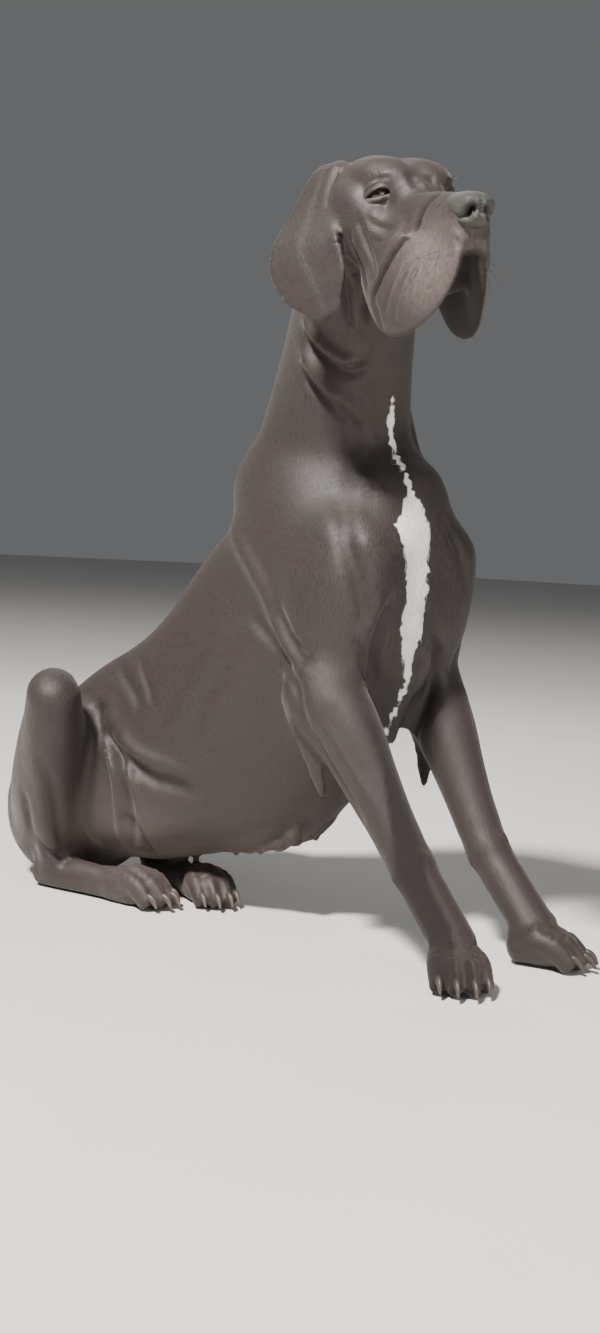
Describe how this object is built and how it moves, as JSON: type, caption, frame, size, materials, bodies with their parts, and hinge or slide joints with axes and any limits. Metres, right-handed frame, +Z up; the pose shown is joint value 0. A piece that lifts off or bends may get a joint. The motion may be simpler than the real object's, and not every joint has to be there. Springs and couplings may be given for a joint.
{
  "type": "sitting great dane",
  "caption": "life-size still model of a large black great dane sitting upright, head turned to its right",
  "frame": {"origin": "on the floor under the middle of the bounding box", "axes": "+X the way the forequarters face, along the dog's longest extent, +Y the dog's left, +Z up"},
  "size_m": [1.1916, 0.5746, 1.0872],
  "materials": {
    "coat": "short sleek black hair with a satin sheen",
    "nose_leather": "damp pebbled dark grey skin",
    "eye": "wet, clear over a dark brown iris",
    "claw": "grey brown horn"
  },
  "bodies": {
    "root": {"head": "coat", "eye_left": "eye", "eye_right": "eye", "lower_jaw": "coat", "nose": "nose_leather", "ear_left": "coat", "ear_right": "coat", "upper_arm_left": "coat", "forearm_left": "coat", "pastern_left": "coat", "front_paw_left_claw_1": "claw", "front_paw_left_claw_2": "claw", "front_paw_left_claw_3": "claw", "front_paw_left_claw_4": "claw", "front_paw_left": "coat", "upper_arm_right": "coat", "forearm_right": "coat", "pastern_right": "coat", "front_paw_right_claw_1": "claw", "front_paw_right_claw_2": "claw", "front_paw_right_claw_3": "claw", "front_paw_right_claw_4": "claw", "front_paw_right": "coat", "thigh_left": "coat", "shank_left": "coat", "hind_foot_left": "coat", "hind_paw_left_claw_1": "claw", "hind_paw_left_claw_2": "claw", "hind_paw_left_claw_3": "claw", "hind_paw_left_claw_4": "claw", "hind_paw_left": "coat", "thigh_right": "coat", "shank_right": "coat", "hind_foot_right": "coat", "hind_paw_right_claw_1": "claw", "hind_paw_right_claw_2": "claw", "hind_paw_right_claw_3": "claw", "hind_paw_right_claw_4": "claw", "hind_paw_right": "coat", "chest": "coat", "abdomen": "coat", "rump": "coat", "neck": "coat", "tail": "coat"}
  },
  "joints": []
}
